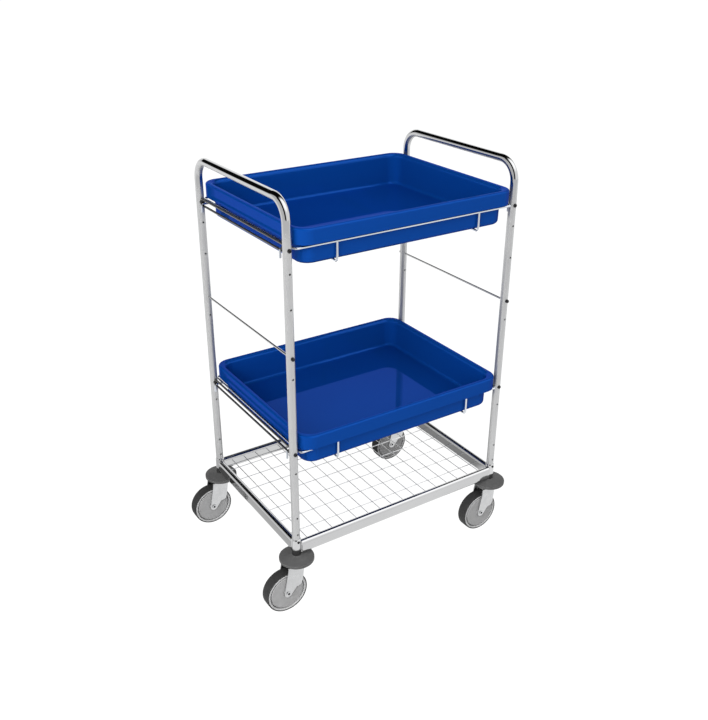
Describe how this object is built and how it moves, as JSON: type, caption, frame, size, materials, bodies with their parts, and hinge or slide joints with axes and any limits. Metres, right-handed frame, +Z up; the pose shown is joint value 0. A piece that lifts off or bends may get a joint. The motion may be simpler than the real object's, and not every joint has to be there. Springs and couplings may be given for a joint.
{
  "type": "transport trolley",
  "caption": "Chrome tube trolley with lift-out blue tubs on wire carriers, a wire-grid base shelf, hoop handles and swivel castors, for moving crockery or goods by hand.",
  "frame": {"origin": "on the floor, at the middle of the footprint with the castors trailing towards -X", "axes": "+Z up; +X along the length, towards the right-hand end as the picture shows it; -Y is the long side nearest the camera"},
  "size_m": [0.846, 0.5818, 1.173],
  "materials": {
    "chrome_tube": "polished chrome plate on round steel tube",
    "chrome_sleeve": "polished chrome plate, slightly softer",
    "chrome_rail": "chrome plate on flat-oval tube",
    "chrome_wire": "polished chrome plate on drawn wire",
    "mesh_wire": "chrome plate on thin welded wire",
    "screw_steel": "bright zinc-plated steel",
    "screw_black": "black-oxide steel",
    "castor_zinc": "pressed steel, bright zinc plate",
    "tub_plastic": "smooth glossy royal-blue polyethylene",
    "bumper_rubber": "matt dark-grey rubber",
    "plug_plastic": "black moulded nylon",
    "tyre_rubber": "matt dark-grey thermoplastic rubber tread",
    "wheel_plastic": "light-grey moulded polypropylene",
    "cover_plastic": "mid-grey moulded polypropylene"
  },
  "bodies": {
    "frame": {"left_end_frame": "chrome_tube", "right_end_frame": "chrome_tube", "corner_sleeves": "chrome_sleeve", "sleeve_screws": "screw_black", "base_front_rail": "chrome_rail", "base_back_rail": "chrome_rail", "base_left_rail": "chrome_rail", "base_right_rail": "chrome_rail", "mesh_long_wires": "mesh_wire", "mesh_cross_wires": "mesh_wire", "left_cross_rod": "chrome_wire", "right_cross_rod": "chrome_wire", "cross_rod_cap_nuts": "screw_black", "upper_left_rail": "chrome_wire", "upper_right_rail": "chrome_wire", "lower_left_rail": "chrome_wire", "lower_right_rail": "chrome_wire", "end_rail_screws": "screw_black", "end_rail_bosses": "plug_plastic", "upper_carrier_ring": "chrome_wire", "upper_carrier_stirrups": "chrome_wire", "upper_carrier_hooks": "chrome_wire", "lower_carrier_ring": "chrome_wire", "lower_carrier_stirrups": "chrome_wire", "lower_carrier_hooks": "chrome_wire", "castor_stems": "castor_zinc", "stem_plugs": "plug_plastic", "bumper_discs": "bumper_rubber", "swivel_bearings": "castor_zinc"},
    "upper_tub_body": {"upper_tub": "tub_plastic"},
    "lower_tub_body": {"lower_tub": "tub_plastic"},
    "front_left_castor": {"front_left_fork": "castor_zinc", "front_left_axle_bolt": "screw_steel", "front_left_axle_nut": "screw_steel"},
    "front_left_wheel": {"front_left_tyre": "tyre_rubber", "front_left_wheel_rim": "wheel_plastic", "front_left_wheel_covers": "cover_plastic", "front_left_wheel_bush": "plug_plastic"},
    "front_right_castor": {"front_right_fork": "castor_zinc", "front_right_axle_bolt": "screw_steel", "front_right_axle_nut": "screw_steel"},
    "front_right_wheel": {"front_right_tyre": "tyre_rubber", "front_right_wheel_rim": "wheel_plastic", "front_right_wheel_covers": "cover_plastic", "front_right_wheel_bush": "plug_plastic"},
    "back_left_castor": {"back_left_fork": "castor_zinc", "back_left_axle_bolt": "screw_steel", "back_left_axle_nut": "screw_steel"},
    "back_left_wheel": {"back_left_tyre": "tyre_rubber", "back_left_wheel_rim": "wheel_plastic", "back_left_wheel_covers": "cover_plastic", "back_left_wheel_bush": "plug_plastic"},
    "back_right_castor": {"back_right_fork": "castor_zinc", "back_right_axle_bolt": "screw_steel", "back_right_axle_nut": "screw_steel"},
    "back_right_wheel": {"back_right_tyre": "tyre_rubber", "back_right_wheel_rim": "wheel_plastic", "back_right_wheel_covers": "cover_plastic", "back_right_wheel_bush": "plug_plastic"}
  },
  "joints": [
    {"name": "upper_tub_lift", "type": "slide", "parent": "frame", "child": "upper_tub_body", "axis": [0, 0, 1], "range_m": [0, 0.15]},
    {"name": "lower_tub_lift", "type": "slide", "parent": "frame", "child": "lower_tub_body", "axis": [0, 0, 1], "range_m": [0, 0.12]},
    {"name": "front_left_swivel", "type": "hinge", "parent": "frame", "child": "front_left_castor", "pos_m": [-0.32, -0.242, 0.142], "axis": [0, 0, 1], "continuous": true},
    {"name": "front_left_spin", "type": "hinge", "parent": "front_left_castor", "child": "front_left_wheel", "pos_m": [-0.3605, -0.242, 0.0625], "axis": [0, 1, 0], "continuous": true},
    {"name": "front_right_swivel", "type": "hinge", "parent": "frame", "child": "front_right_castor", "pos_m": [0.374, -0.242, 0.142], "axis": [0, 0, 1], "continuous": true},
    {"name": "front_right_spin", "type": "hinge", "parent": "front_right_castor", "child": "front_right_wheel", "pos_m": [0.3335, -0.242, 0.0625], "axis": [0, 1, 0], "continuous": true},
    {"name": "back_left_swivel", "type": "hinge", "parent": "frame", "child": "back_left_castor", "pos_m": [-0.32, 0.242, 0.142], "axis": [0, 0, 1], "continuous": true},
    {"name": "back_left_spin", "type": "hinge", "parent": "back_left_castor", "child": "back_left_wheel", "pos_m": [-0.3605, 0.242, 0.0625], "axis": [0, 1, 0], "continuous": true},
    {"name": "back_right_swivel", "type": "hinge", "parent": "frame", "child": "back_right_castor", "pos_m": [0.374, 0.242, 0.142], "axis": [0, 0, 1], "continuous": true},
    {"name": "back_right_spin", "type": "hinge", "parent": "back_right_castor", "child": "back_right_wheel", "pos_m": [0.3335, 0.242, 0.0625], "axis": [0, 1, 0], "continuous": true}
  ]
}
